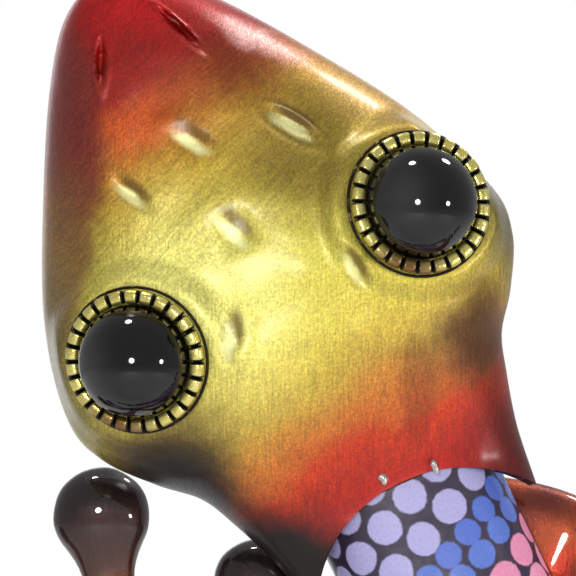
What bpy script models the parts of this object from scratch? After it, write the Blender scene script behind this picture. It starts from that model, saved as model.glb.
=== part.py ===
"""A lacquered sheet-metal gecko that hangs on a wall, head up, seen from the front along +Y.

Plan points are (x, z) in millimetres from the middle of the head, with x to the right and z up.
Depth is the height above the wall in millimetres. The model's origin is on the axis of the
hanging ring, so +Y points into the wall and the wall itself is at depth 0.
"""
import math

import bmesh
import bpy
from mathutils import Matrix, Vector

MM = 0.001
SHEET = 0.8            # thickness of the formed sheets
GAP = 0.3              # clearance between neighbouring pieces
RING_DEPTH = 5.4       # height of the hanging ring's axis above the wall
RING_FROM_HEAD = Vector((17.0, -2.0))

# Head: u is to the head's right and v towards the snout
HEAD_TILT = math.radians(29)
HEAD_RIM = 7.6
HEAD_HALF_OUTLINE = [(0, 37.5), (5.0, 35.9), (10.0, 30.3), (16.1, 20.8), (22.7, 8.8),
                     (26.0, -2.0), (25.2, -7.6), (21.8, -12.7),
                     (18.5, -16.4), (16.8, -20.4), (15.0, -26.0), (13.8, -32.4)]
HEAD_CROWN = [(-32.4, 7.0), (-25, 8.8), (-15, 11.6), (-5, 13.0), (5, 13.0), (25, 10.0), (37.5, 8.0)]
HEAD_LEAN = -1.2       # sideways set of the head's front half
NOSE_RADIUS = 12.0
NOSE_POWER = 2.5       # how square the snout's front is
NECK_ARC = 16.4
NECK_HALF = HEAD_HALF_OUTLINE[-1][0]
NECK_SAG = math.sqrt(NECK_ARC ** 2 - NECK_HALF ** 2)
SECTION_POWER = 1.6    # how square the shoulders of a formed section are
EYE_U = 16.8
EYE_SHIFT = 1.07       # sideways set of both eyes from the head's leaning middle
EYE_HEIGHT = 11.4
EYE_TILT = math.radians(18)
EYE_SEAT = 8.1
EYE_SEAT_FADE = 2.6
EYE_SEAT_REACH = 0.93  # share of the half width that a seat may flatten
EYE_LEDGE = 0.4        # height of the eye's pieces above the seat
CABOCHON_RADIUS = 6.0
CABOCHON_HEIGHT = 4.6
CABOCHON_EDGE = 0.8
BEZEL_RADIUS = 7.2
BEZEL_WIRE = 0.85

# Body and tail follow one spine
SPINE = [(12.4, -20.2), (20.5, -38.5), (26.5, -60), (28, -83), (23, -106), (12, -126),
         (-2, -146), (-10, -168), (-6, -190), (9, -206), (28, -209), (43, -198), (47, -182)]
BODY_LENGTH = 112.0
BODY_RIM = 4.2
BODY_HALF_WIDTH = [(0, 9.85), (15, 9.85), (35, 11.8), (60, 13.2), (85, 11.5), (112, 8.2)]
BODY_CROWN = [(0, 7.8), (15, 7.8), (50, 9.0), (85, 8.2), (112, 6.8)]
INLAY_SHEET = 0.6
INLAY_WRAP = math.radians(80)
INLAY_START = 1.5
INLAY_END = 108.0
INLAY_TONGUE = 16.0
TAIL_LAP = 5.0
TAIL_TIP = 2.6
TAIL_HALF_WIDTH = [(0, 7.05), (20, 6.6), (60, 5.2), (100, 3.9), (150, 2.6)]
TAIL_CROWN = [(0, 5.6), (20, 5.3), (60, 4.4), (100, 3.4), (150, 2.5)]
TAIL_RIM = [(0, 4.2), (150, 1.2)]

# Legs and feet
LEG_RIM = 0.9
LEG_HALF_WIDTH = [(0, 6.0), (0.35, 6.4), (0.7, 4.8), (1, 4.2)]
LEG_ROOT_CROWN = 3.0
LEG_CROWN = 6.0
LEG_ROOT = 13.0
LEG_RISE = 10.0
PALM_RADIUS = 9.5
PALM_WALL = 5.0
PALM_TOP = 7.6
PALM_SHOULDER = 0.6    # below 1 squares the palm's shoulder
TOE_DEPTH = 4.1
TOE_FLATNESS = 0.72
TOE_BALL = 5.3
TOE_STEM = [(2.6, 4.62), (3.7, 3.95), (4.9, 3.35), (6.3, 2.9), (8.5, 2.62), (13, 2.5)]
TOE_FOOT = 2.2

WRIST = 5.0            # straight stretch of the leg before its palm

# A foot's headings are degrees clockwise from up, as seen from the front
FEET = {
    "front_left": {
        "leg": [(19, -43), (11, -54)],
        "wrist": 100,
        "palm": (-14.5, -62.5),
        "toes": [(-70, 29), (-38, 35), (-7.1, 37.5), (23.1, 32.1)],
    },
    "front_right": {
        "leg": [(17, -26), (32, -30)],
        "wrist": 314,
        "palm": (60, -52),
        "toes": [(62, 30), (93, 32), (124, 32), (155, 29)],
    },
    "hind_left": {
        "leg": [(19, -106), (3, -109)],
        "wrist": 68,
        "palm": (-28, -122),
        "toes": [(188, 30), (219, 32), (250, 32), (281, 29)],
    },
    "hind_right": {
        "leg": [(27, -107), (39, -119)],
        "wrist": 276,
        "palm": (68, -130),
        "toes": [(8, 30), (39, 32), (70, 32), (101, 29)],
    },
}

# Braces inside the shells, and the hanger
PLATE = 1.2
SHOULDER_PLATE = (5, 34)
HIP_PLATE = (76, 101)
NECK_BRACE = (-22.0, -15.0)
NECK_BRACE_DEPTH = 9.0
NECK_BRACE_HALF = 13.6
HANGER_BRACE = (-11.0, -3.0)
HANGER_BRACE_DEPTH = 7.75
ROD_RADIUS = 1.5
ROD_DEPTH = 7.2
ROD_INTO_HEAD = -16.0
ROD_INTO_TAIL = 30.0
ROD_ASIDE = 0.5        # the rod's head end, right of the head's middle
ROD_STRAIGHTENS = 4.0  # length along the spine where the rod joins it
ROD_UNDER_TAIL = 0.6   # how much lower the rod lies under the tail
RING_WIRE = 0.9
RING_HALF_WIDTH = 6.1
RING_SIDE = 4.0
RING_CORNER = 1.8
CLIP_HALF_WIDTH = 2.5
CLIP_LOOP = 1.65
CLIP_TAB = 6.8

GOLD = (0.55, 0.42, 0.05)
AMBER = (0.60, 0.16, 0.02)
COPPER = (0.20, 0.06, 0.03)
BLACK_GLASS = (0.01, 0.01, 0.012)
BEAD_GOLD = (0.62, 0.50, 0.12)
INLAY_VIOLET = (0.28, 0.24, 0.50)
BARE_STEEL = (0.45, 0.44, 0.42)


def clear_scene():
    for old in list(bpy.data.objects):
        bpy.data.objects.remove(old, do_unlink=True)


def material(name, colour, roughness, metallic):
    made = bpy.data.materials.new(name)
    made.use_nodes = True
    shader = made.node_tree.nodes["Principled BSDF"]
    shader.inputs["Base Color"].default_value = (*colour, 1.0)
    shader.inputs["Roughness"].default_value = roughness
    shader.inputs["Metallic"].default_value = metallic
    return made


def smooth_step(low, high, value):
    t = min(max((value - low) / (high - low), 0.0), 1.0)
    return t * t * (3 - 2 * t)


def smooth_value(knots, at):
    """Cubic value through (position, value) knots, with level ends."""
    if at <= knots[0][0]:
        return knots[0][1]
    if at >= knots[-1][0]:
        return knots[-1][1]
    i = max(k for k in range(len(knots) - 1) if knots[k][0] <= at)

    def slope(k):
        if k in (0, len(knots) - 1):
            return 0.0
        return (knots[k + 1][1] - knots[k - 1][1]) / (knots[k + 1][0] - knots[k - 1][0])

    (x0, y0), (x1, y1) = knots[i], knots[i + 1]
    span = x1 - x0
    t = (at - x0) / span
    return (y0 * (1 + 2 * t) * (1 - t) ** 2 + y1 * t * t * (3 - 2 * t)
            + slope(i) * span * t * (1 - t) ** 2 - slope(i + 1) * span * t * t * (1 - t))


def smooth_curve(points, steps, before=None, after=None):
    """Points of a Catmull-Rom curve through the given plan points."""
    points = [Vector(p) for p in points]
    first = Vector(before) if before else 2 * points[0] - points[1]
    last = Vector(after) if after else 2 * points[-1] - points[-2]
    knots = [first] + points + [last]
    curve = []
    for i in range(1, len(knots) - 2):
        a, b, c, d = knots[i - 1:i + 3]
        for k in range(steps):
            t = k / steps
            curve.append(0.5 * (2 * b + (c - a) * t + (2 * a - 5 * b + 4 * c - d) * t * t
                                + (3 * b - a - 3 * c + d) * t ** 3))
    curve.append(points[-1])
    return curve


class Route:
    """A smooth plan curve that is read by its length from the start."""

    def __init__(self, points):
        self.points = smooth_curve(points, 24)
        self.lengths = [0.0]
        for a, b in zip(self.points, self.points[1:]):
            self.lengths.append(self.lengths[-1] + (b - a).length)

    @property
    def length(self):
        return self.lengths[-1]

    def at(self, distance):
        """The plan point and the direction to the route's left at a distance."""
        distance = min(max(distance, 0.0), self.length)
        i = max(k for k in range(len(self.lengths) - 1) if self.lengths[k] <= distance)
        a, b = self.points[i], self.points[i + 1]
        t = (distance - self.lengths[i]) / (self.lengths[i + 1] - self.lengths[i])
        along = (b - a).normalized()
        return a.lerp(b, t), Vector((-along.y, along.x))


def place(plan, depth):
    x, z = Vector(plan) - RING_FROM_HEAD
    return Vector((x, RING_DEPTH - depth, z)) * MM


def head_plan(u, v):
    cos, sin = math.cos(HEAD_TILT), math.sin(HEAD_TILT)
    return Vector((u * cos - v * sin, u * sin + v * cos))


def section(fraction):
    """Side and height of a formed section, each from 0 to 1, for -1 to 1 across it."""
    angle = fraction * math.pi / 2
    side = math.copysign(abs(math.sin(angle)) ** (1 / SECTION_POWER), fraction)
    return side, max(math.cos(angle), 0.0)


def add_object(name, data, finish):
    made = bpy.data.objects.new(name, data)
    data.materials.append(finish)
    bpy.context.scene.collection.objects.link(made)
    return made


def mesh_object(name, bm, finish, smooth=True):
    mesh = bpy.data.meshes.new(name)
    bm.to_mesh(mesh)
    bm.free()
    if smooth:
        mesh.shade_smooth()
        mesh.set_sharp_from_angle(angle=math.radians(40))
    return add_object(name, mesh, finish)


def sheet_object(name, rows, finish, thickness=SHEET, outward=False):
    """A formed sheet: its front surface given as rows of points, thickened by Solidify."""
    bm = bmesh.new()
    grid = [[bm.verts.new(point) for point in row] for row in rows]
    for near, far in zip(grid, grid[1:]):
        for i in range(len(near) - 1):
            bm.faces.new((near[i], near[i + 1], far[i + 1], far[i]))
    bmesh.ops.remove_doubles(bm, verts=bm.verts, dist=1e-6)
    bmesh.ops.dissolve_degenerate(bm, edges=bm.edges, dist=1e-6)
    bm.normal_update()
    if sum(face.normal.y * face.calc_area() for face in bm.faces) > 0:
        bmesh.ops.reverse_faces(bm, faces=bm.faces)
    made = mesh_object(name, bm, finish)
    thicken = made.modifiers.new("sheet", 'SOLIDIFY')
    thicken.thickness = thickness * MM
    thicken.offset = 1.0 if outward else -1.0
    return made


def rounded(distance, end, radius):
    """From 1 down to 0 along a quarter circle over the last radius before the end."""
    into = (distance - (end - radius)) / radius
    if into <= 0:
        return 1.0
    return math.sqrt(max(1 - into * into, 0.0))


def head_half_outline(steps):
    mirrored = (-HEAD_HALF_OUTLINE[1][0], HEAD_HALF_OUTLINE[1][1])
    return smooth_curve(HEAD_HALF_OUTLINE, steps, before=mirrored)


def head_half_width(v):
    outline = head_half_outline(8)
    for (u0, v0), (u1, v1) in zip(outline, outline[1:]):
        if v1 <= v <= v0:
            return u0 + (u1 - u0) * (v0 - v) / (v0 - v1)
    return 0.0


def head_lean(v):
    return HEAD_LEAN * smooth_step(-20, 5, v)


def with_eye_seats(u, v, height, side):
    """The head's height with a flat seat pressed under each eye."""
    for eye in (EYE_SHIFT - EYE_U, EYE_SHIFT + EYE_U):
        seat = EYE_HEIGHT - (u - eye) * math.copysign(math.tan(EYE_TILT), eye)
        reach = math.hypot(u - eye, v)
        weight = 1 - smooth_step(EYE_SEAT, EYE_SEAT + EYE_SEAT_FADE, reach)
        weight *= 1 - smooth_step(EYE_SEAT_REACH, 1.0, abs(side))
        height += weight * (seat - height)
    return height


def head_shell(finish):
    across = 24
    rows = []
    for half_width, v in head_half_outline(3):
        nose = 1 - min(half_width / NOSE_RADIUS, 1.0)
        crown = smooth_value(HEAD_CROWN, v) * math.sqrt(1 - nose ** NOSE_POWER)
        neck = 1 - smooth_step(HEAD_HALF_OUTLINE[-1][1], -8, v)
        row = []
        for k in range(across + 1):
            side, height = section(2 * k / across - 1)
            u = side * half_width
            bulge = neck * (math.sqrt(NECK_ARC ** 2 - (side * NECK_HALF) ** 2) - NECK_SAG)
            lift = with_eye_seats(u, v, height * crown, side)
            row.append(place(head_plan(u + head_lean(v), v + bulge), HEAD_RIM + lift))
        rows.append(row)
    return sheet_object("head_shell", rows, finish)


def strip_rows(route, stations, half_width, crown, rim, across, wrap=lambda s: 1.0, end_arc=None):
    """Rows of a formed strip along a route; wrap below 1 stops it short of its rim."""
    rows = []
    for distance in stations:
        middle, left = route.at(distance)
        along = Vector((left.y, -left.x))
        row = []
        for k in range(across + 1):
            side, height = section(wrap(distance) * (2 * k / across - 1))
            offset = side * half_width(distance)
            point = middle + left * offset
            if end_arc:
                point = point + along * end_arc(distance, offset)
            row.append(place(point, rim(distance) + height * crown(distance)))
        rows.append(row)
    return rows


def even(start, end, count):
    return [start + (end - start) * k / count for k in range(count + 1)]


def rounded_stations(start, end, count, radius, turns=4):
    """Even stations, then closer ones round the end."""
    body = even(start, end - radius, count)
    return body + [end - radius + radius * math.sin(k * math.pi / 2 / turns) for k in range(1, turns + 1)]


def body_shell(spine, finish):
    rows = strip_rows(spine, even(0, BODY_LENGTH, 18),
                      lambda s: smooth_value(BODY_HALF_WIDTH, s),
                      lambda s: smooth_value(BODY_CROWN, s), lambda s: BODY_RIM, 12)
    return sheet_object("body_shell", rows, finish)


def body_inlay(spine, finish):
    wrap = INLAY_WRAP / (math.pi / 2)
    rows = strip_rows(spine, rounded_stations(INLAY_START, INLAY_END, 15, INLAY_TONGUE, 5),
                      lambda s: smooth_value(BODY_HALF_WIDTH, s) + GAP,
                      lambda s: smooth_value(BODY_CROWN, s) + GAP, lambda s: BODY_RIM, 12,
                      wrap=lambda s: wrap * rounded(s, INLAY_END, INLAY_TONGUE))
    return sheet_object("body_inlay", rows, finish, thickness=INLAY_SHEET, outward=True)


def tail_shell(spine, finish):
    start = BODY_LENGTH - TAIL_LAP
    end = spine.length

    def along_tail(knots):
        return lambda s: smooth_value(knots, s - start)

    def closing(knots):
        return lambda s: smooth_value(knots, s - start) * rounded(s, end, TAIL_TIP)

    rows = strip_rows(spine, rounded_stations(start, end, 28, TAIL_TIP, 3),
                      closing(TAIL_HALF_WIDTH), closing(TAIL_CROWN), along_tail(TAIL_RIM), 8)
    return sheet_object("tail_shell", rows, finish)


def heading_plan(degrees):
    return Vector((math.sin(math.radians(degrees)), math.cos(math.radians(degrees))))


def leg(name, points, palm_plan, wrist, finish):
    reach = PALM_RADIUS + GAP
    to_leg = heading_plan(wrist)
    last = [Vector(palm_plan) + to_leg * (reach + more) for more in (WRIST, 0)]
    route = Route(list(points) + last)

    def crown(s):
        return LEG_ROOT_CROWN + (LEG_CROWN - LEG_ROOT_CROWN) * smooth_step(LEG_ROOT, LEG_ROOT + LEG_RISE, s)

    def end_arc(s, offset):
        cup = reach - math.sqrt(reach ** 2 - offset ** 2)
        return cup * smooth_step(0.75 * route.length, route.length, s)

    rows = strip_rows(route, even(0, route.length, 12),
                      lambda s: smooth_value(LEG_HALF_WIDTH, s / route.length),
                      crown, lambda s: LEG_RIM, 8, end_arc=end_arc)
    return sheet_object(name, rows, finish)


def spin_profile(profile, segments):
    """A closed solid turned about Z from (radius, height) points that end on the axis."""
    bm = bmesh.new()
    line = [bm.verts.new((radius, 0, height)) for radius, height in profile]
    edges = [bm.edges.new(pair) for pair in zip(line, line[1:])]
    bmesh.ops.spin(bm, geom=line + edges, cent=(0, 0, 0), axis=(0, 0, 1),
                   angle=2 * math.pi, steps=segments)
    bmesh.ops.remove_doubles(bm, verts=bm.verts, dist=1e-6)
    bmesh.ops.recalc_face_normals(bm, faces=bm.faces)
    return bm


def palm(name, plan, finish):
    steps = 4
    profile = [(0, 0), (PALM_RADIUS, 0), (PALM_RADIUS, PALM_WALL)]
    for k in range(1, steps + 1):
        angle = k * math.pi / 2 / steps
        radius = PALM_RADIUS * math.cos(angle) ** PALM_SHOULDER if k < steps else 0
        profile.append((radius, PALM_WALL + (PALM_TOP - PALM_WALL) * math.sin(angle)))
    bm = spin_profile([(radius * MM, height * MM) for radius, height in profile], 24)
    made = mesh_object(name, bm, finish)
    made.rotation_euler = (math.pi / 2, 0, 0)
    made.location = place(plan, 0)
    return made


def toe(name, palm_plan, heading, length, finish):
    """A ball-ended toe: rings of an oval section from the palm out to the ball's tip."""
    out = heading_plan(heading)
    side = Vector((out.y, -out.x))
    ball = Vector(palm_plan) + out * length
    back = length - PALM_RADIUS - GAP
    rings = [(back, TOE_FOOT)] + [(distance, radius) for distance, radius in reversed(TOE_STEM)]
    rings += [(TOE_BALL * math.cos(math.radians(a)), TOE_BALL * math.sin(math.radians(a)))
              for a in (90, 113, 136, 158)]
    segments = 10
    bm = bmesh.new()
    loops = []
    for distance, radius in rings:
        loop = []
        for k in range(segments):
            turn = 2 * math.pi * k / segments
            point = ball - out * distance + side * (radius * math.cos(turn))
            loop.append(bm.verts.new(place(point, TOE_DEPTH + TOE_FLATNESS * radius * math.sin(turn))))
        loops.append(loop)
    for near, far in zip(loops, loops[1:]):
        for k in range(segments):
            bm.faces.new((near[k], near[(k + 1) % segments], far[(k + 1) % segments], far[k]))
    tip = bm.verts.new(place(ball + out * TOE_BALL, TOE_DEPTH))
    for k in range(segments):
        bm.faces.new((loops[-1][k], loops[-1][(k + 1) % segments], tip))
    bm.faces.new(loops[0])
    bmesh.ops.recalc_face_normals(bm, faces=bm.faces)
    return mesh_object(name, bm, finish)


def eye_place(side):
    """World matrix of an eye's seat: local Z points out of the seat."""
    u = side * EYE_U + EYE_SHIFT + head_lean(0)
    seat = place(head_plan(u, 0), HEAD_RIM + EYE_HEIGHT)
    right = head_plan(1, 0)
    lean = side * EYE_TILT
    out = Vector((right.x * math.sin(lean), -math.cos(lean), right.y * math.sin(lean)))
    return Matrix.Translation(seat) @ out.to_track_quat('Z', 'Y').to_matrix().to_4x4()


def cabochon(name, side, finish):
    profile = [(0, EYE_LEDGE), (CABOCHON_RADIUS, EYE_LEDGE)]
    rise = CABOCHON_HEIGHT - CABOCHON_EDGE
    steps = 8
    for k in range(steps + 1):
        angle = k * math.pi / 2 / steps
        profile.append((CABOCHON_RADIUS * math.cos(angle) if k < steps else 0,
                        EYE_LEDGE + CABOCHON_EDGE + rise * math.sin(angle)))
    bm = spin_profile([(radius * MM, height * MM) for radius, height in profile], 24)
    made = mesh_object(name, bm, finish)
    made.matrix_world = eye_place(side)
    return made


def bezel(name, side, finish):
    around, wire = 32, 6
    bm = bmesh.new()
    rings = []
    for i in range(around):
        turn = 2 * math.pi * i / around
        ring = []
        for k in range(wire):
            angle = 2 * math.pi * k / wire
            reach = (BEZEL_RADIUS + BEZEL_WIRE * math.cos(angle)) * MM
            height = (EYE_LEDGE + BEZEL_WIRE + BEZEL_WIRE * math.sin(angle)) * MM
            ring.append(bm.verts.new((reach * math.cos(turn), reach * math.sin(turn), height)))
        rings.append(ring)
    for i in range(around):
        near, far = rings[i], rings[(i + 1) % around]
        for k in range(wire):
            bm.faces.new((near[k], far[k], far[(k + 1) % wire], near[(k + 1) % wire]))
    bmesh.ops.recalc_face_normals(bm, faces=bm.faces)
    made = mesh_object(name, bm, finish)
    made.matrix_world = eye_place(side)
    return made


def plate_object(name, rows, depth, thickness, finish):
    """A flat plate whose outline is given as rows of two plan points, left and right."""
    bm = bmesh.new()
    grid = [[bm.verts.new(place(point, depth)) for point in row] for row in rows]
    for near, far in zip(grid, grid[1:]):
        bm.faces.new((near[0], near[1], far[1], far[0]))
    raised = bmesh.ops.extrude_face_region(bm, geom=list(bm.faces))
    moved = [item for item in raised["geom"] if isinstance(item, bmesh.types.BMVert)]
    bmesh.ops.translate(bm, verts=moved, vec=(0, -thickness * MM, 0))
    bmesh.ops.recalc_face_normals(bm, faces=bm.faces)
    return mesh_object(name, bm, finish, smooth=False)


def spine_plate(name, spine, span, finish):
    rows = []
    for s in even(span[0], span[1], 6):
        middle, left = spine.at(s)
        reach = smooth_value(BODY_HALF_WIDTH, s) - SHEET - 2 * GAP
        rows.append((middle - left * reach, middle + left * reach))
    return plate_object(name, rows, BODY_RIM, PLATE, finish)


def neck_brace(finish):
    rows = [(head_plan(-NECK_BRACE_HALF, v), head_plan(NECK_BRACE_HALF, v)) for v in NECK_BRACE]
    return plate_object("neck_brace", rows, NECK_BRACE_DEPTH, PLATE, finish)


def hanger_brace(finish):
    rows = []
    for v in HANGER_BRACE:
        reach = head_half_width(v) - SHEET - 2 * GAP
        rows.append((head_plan(head_lean(v) - reach, v), head_plan(head_lean(v) + reach, v)))
    return plate_object("hanger_brace", rows, HANGER_BRACE_DEPTH, PLATE, finish)


def wire_object(name, points, radius, finish, closed=False):
    data = bpy.data.curves.new(name, 'CURVE')
    data.dimensions = '3D'
    data.bevel_depth = radius * MM
    data.bevel_resolution = 2
    data.use_fill_caps = not closed
    spline = data.splines.new('POLY')
    spline.points.add(len(points) - 1)
    for knot, point in zip(spline.points, points):
        knot.co = (*point, 1.0)
    spline.use_cyclic_u = closed
    return add_object(name, data, finish)


def spine_rod(spine, finish):
    head_end = [head_plan(ROD_ASIDE, ROD_INTO_HEAD)]
    last = BODY_LENGTH + ROD_INTO_TAIL
    stretch = [spine.at(s)[0] for s in even(ROD_STRAIGHTENS, last, 40)]
    route = smooth_curve(head_end + [stretch[0]], 4)[:-1] + stretch
    drop = smooth_value(TAIL_RIM, ROD_INTO_TAIL) - BODY_RIM - ROD_UNDER_TAIL
    points = []
    for k, plan in enumerate(route):
        past_body = smooth_step(0.7, 1.0, k / (len(route) - 1))
        points.append(place(plan, ROD_DEPTH + drop * past_body))
    return wire_object("spine_rod", points, ROD_RADIUS, finish)


def arc_points(centre, radius, start, end, steps):
    return [Vector((centre[0] + radius * math.cos(math.radians(start + (end - start) * k / steps)),
                    centre[1] + radius * math.sin(math.radians(start + (end - start) * k / steps))))
            for k in range(steps + 1)]


def hanger_ring(finish):
    """A D-shaped wire ring with its straight bar on the hinge axis, hanging down."""
    corner = RING_HALF_WIDTH - RING_CORNER
    loop = arc_points((corner, -RING_CORNER), RING_CORNER, 90, 0, 4)
    loop += arc_points((0, -RING_SIDE), RING_HALF_WIDTH, 0, -180, 14)
    loop += arc_points((-corner, -RING_CORNER), RING_CORNER, 180, 90, 4)
    points = [Vector((x * MM, 0, z * MM)) for x, z in loop]
    return wire_object("hanger_ring", points, RING_WIRE, finish, closed=True)


def hanger_clip(finish):
    """A strap rolled round the ring's bar, with a tab brazed to the hanger brace."""
    line = [Vector((-CLIP_LOOP, CLIP_TAB * k / 3)) for k in (3, 2, 1)]
    line += arc_points((0, 0), CLIP_LOOP, 180, 450, 14)
    rows = [[Vector((x * MM, y * MM, z * MM)) for x in (-CLIP_HALF_WIDTH, CLIP_HALF_WIDTH)]
            for y, z in line]
    bm = bmesh.new()
    grid = [[bm.verts.new(point) for point in row] for row in rows]
    for near, far in zip(grid, grid[1:]):
        bm.faces.new((near[0], near[1], far[1], far[0]))
    made = mesh_object("hanger_clip", bm, finish)
    thicken = made.modifiers.new("strap", 'SOLIDIFY')
    thicken.thickness = SHEET * MM
    thicken.offset = 0.0
    thicken.use_even_offset = True
    return made


def main():
    clear_scene()
    spine = Route(SPINE)
    head_finish = material("head_lacquer", GOLD, 0.25, 0.9)
    body_finish = material("body_lacquer", AMBER, 0.22, 0.8)
    foot_finish = material("foot_lacquer", COPPER, 0.12, 0.7)
    glass = material("black_glass", BLACK_GLASS, 0.04, 0.0)
    beads = material("beaded_wire", BEAD_GOLD, 0.25, 0.9)
    pattern = material("dotted_inlay", INLAY_VIOLET, 0.45, 0.0)
    steel = material("bare_steel", BARE_STEEL, 0.4, 1.0)

    head_shell(head_finish)
    for word, side in (("left", -1), ("right", 1)):
        cabochon(f"{word}_eye_glass", side, glass)
        bezel(f"{word}_eye_bezel", side, beads)
    body_shell(spine, body_finish)
    body_inlay(spine, pattern)
    tail_shell(spine, body_finish)
    for foot, spec in FEET.items():
        leg(f"{foot}_leg", spec["leg"], spec["palm"], spec["wrist"], body_finish)
        palm(f"{foot}_palm", spec["palm"], foot_finish)
        for number, (heading, length) in enumerate(spec["toes"], start=1):
            toe(f"{foot}_toe_{number}", spec["palm"], heading, length, foot_finish)
    neck_brace(steel)
    spine_plate("shoulder_plate", spine, SHOULDER_PLATE, steel)
    spine_plate("hip_plate", spine, HIP_PLATE, steel)
    spine_rod(spine, steel)
    hanger_brace(steel)
    hanger_clip(steel)
    hanger_ring(steel)


main()
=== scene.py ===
"""Looks of the lacquered sheet-metal gecko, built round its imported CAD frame.

Plan points are (x, z) in millimetres from the middle of the head, with x to the right and z up.
Depth is the height above the wall in millimetres. The head's own frame has u to its right,
v towards the snout and depth as its third axis.
"""
import math

import bmesh
import bpy
from mathutils import Matrix, Vector, noise


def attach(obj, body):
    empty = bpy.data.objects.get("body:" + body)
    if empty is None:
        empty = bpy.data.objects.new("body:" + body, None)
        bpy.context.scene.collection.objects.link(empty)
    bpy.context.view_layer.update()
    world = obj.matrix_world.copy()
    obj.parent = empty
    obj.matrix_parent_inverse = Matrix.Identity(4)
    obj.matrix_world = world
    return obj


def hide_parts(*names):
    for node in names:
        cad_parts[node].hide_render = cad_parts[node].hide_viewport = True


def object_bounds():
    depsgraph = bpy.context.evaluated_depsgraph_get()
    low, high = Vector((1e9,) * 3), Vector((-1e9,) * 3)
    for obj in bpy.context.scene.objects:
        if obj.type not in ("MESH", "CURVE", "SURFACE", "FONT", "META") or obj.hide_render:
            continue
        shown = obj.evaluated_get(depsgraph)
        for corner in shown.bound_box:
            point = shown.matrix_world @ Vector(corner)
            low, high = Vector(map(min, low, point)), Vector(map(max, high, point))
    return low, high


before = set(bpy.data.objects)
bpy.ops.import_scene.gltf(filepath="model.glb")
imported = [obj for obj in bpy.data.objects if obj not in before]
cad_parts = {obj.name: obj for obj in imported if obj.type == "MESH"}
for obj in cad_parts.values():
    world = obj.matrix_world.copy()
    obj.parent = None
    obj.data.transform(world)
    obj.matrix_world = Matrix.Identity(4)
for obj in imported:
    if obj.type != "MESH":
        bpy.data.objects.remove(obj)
CAD_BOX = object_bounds()

MM = 0.001
BODY = "ornament"
RING_BODY = "hanging_ring"
SHEET = 0.8
GAP = 0.3              # clearance between neighbouring pieces
RING_DEPTH = 5.4       # height of the hanging ring's axis above the wall
RING_FROM_HEAD = Vector((17.0, -2.0))

# Head
HEAD_TILT = math.radians(29)
HEAD_RIM = 7.6
HEAD_HALF_OUTLINE = [(0, 37.5), (5.0, 35.9), (10.0, 30.3), (16.1, 20.8), (22.7, 8.8),
                     (26.0, -2.0), (25.2, -7.6), (21.8, -12.7),
                     (18.5, -16.4), (16.8, -20.4), (15.0, -26.0), (13.8, -32.4)]
HEAD_CROWN = [(-32.4, 7.0), (-25, 8.8), (-15, 11.6), (-5, 13.0), (5, 13.0), (25, 10.0), (37.5, 8.0)]
HEAD_LEAN = -1.2
HEAD_LEAN_SPAN = (-20, 5)      # v where the lean starts and where it is whole
NOSE_RADIUS = 12.0
NOSE_POWER = 2.5               # how square the snout's front is
NECK_TOP = -8                  # v where the neck's rear bulge has died out
NECK_ARC = 16.4
NECK_HALF = HEAD_HALF_OUTLINE[-1][0]
NECK_SAG = math.sqrt(NECK_ARC ** 2 - NECK_HALF ** 2)
SECTION_POWER = 1.6
BEATEN = [(0, 7.0, 0.3), (9, 2.2, 0.07)]     # seed, size and height of the head's uneven places
BEATEN_EDGE = 0.85             # share of the half width where beating and dents start to fade
EYE_U = 16.8
EYE_SHIFT = 1.07
EYE_HEIGHT = 11.4
EYE_TILT = math.radians(18)
EYE_SEAT = 8.1
EYE_SEAT_FADE = 2.6
EYE_SEAT_REACH = 0.93
EYE_LEDGE = 0.4

# Body and tail
SPINE = [(12.4, -20.2), (20.5, -38.5), (26.5, -60), (28, -83), (23, -106), (12, -126),
         (-2, -146), (-10, -168), (-6, -190), (9, -206), (28, -209), (43, -198), (47, -182)]
BODY_LENGTH = 112.0
BODY_RIM = 4.2
BODY_HALF_WIDTH = [(0, 9.85), (15, 9.85), (35, 11.8), (60, 13.2), (85, 11.5), (112, 8.2)]
BODY_CROWN = [(0, 7.8), (15, 7.8), (50, 9.0), (85, 8.2), (112, 6.8)]
INLAY_SHEET = 0.6
INLAY_WRAP = 80 / 90
INLAY_START = 1.5
INLAY_END = 108.0
INLAY_TONGUE = 16.0
TAIL_START = BODY_LENGTH - 5.0
TAIL_TIP = 2.6
TAIL_HALF_WIDTH = [(0, 7.05), (20, 6.6), (60, 5.2), (100, 3.9), (150, 2.6)]
TAIL_CROWN = [(0, 5.6), (20, 5.3), (60, 4.4), (100, 3.4), (150, 2.5)]
TAIL_RIM = [(0, 4.2), (150, 1.2)]

# Legs and feet
LEG_RIM = 0.9
LEG_HALF_WIDTH = [(0, 6.0), (0.35, 6.4), (0.7, 4.8), (1, 4.2)]
LEG_ROOT_CROWN = 3.0
LEG_CROWN = 6.0
LEG_ROOT = 13.0
LEG_RISE = 10.0
WRIST = 5.0
PALM_RADIUS = 9.5
PALM_WALL = 5.0
PALM_TOP = 7.6
PALM_FOOT = 0.4        # rounding of the palm's foot
PALM_SHOULDER = 0.62   # below 1 squares the palm's shoulder
TOE_DEPTH = 4.1
TOE_FLATNESS = 0.72
TOE_BALL = 5.3
TOE_STEM = [(2.6, 4.62), (3.7, 3.95), (4.9, 3.35), (6.3, 2.9), (8.5, 2.62), (13, 2.5)]
TOE_FOOT = 2.2
BALL_BLEND = 1.3       # distance from the ball's middle where the stem leaves it
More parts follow.
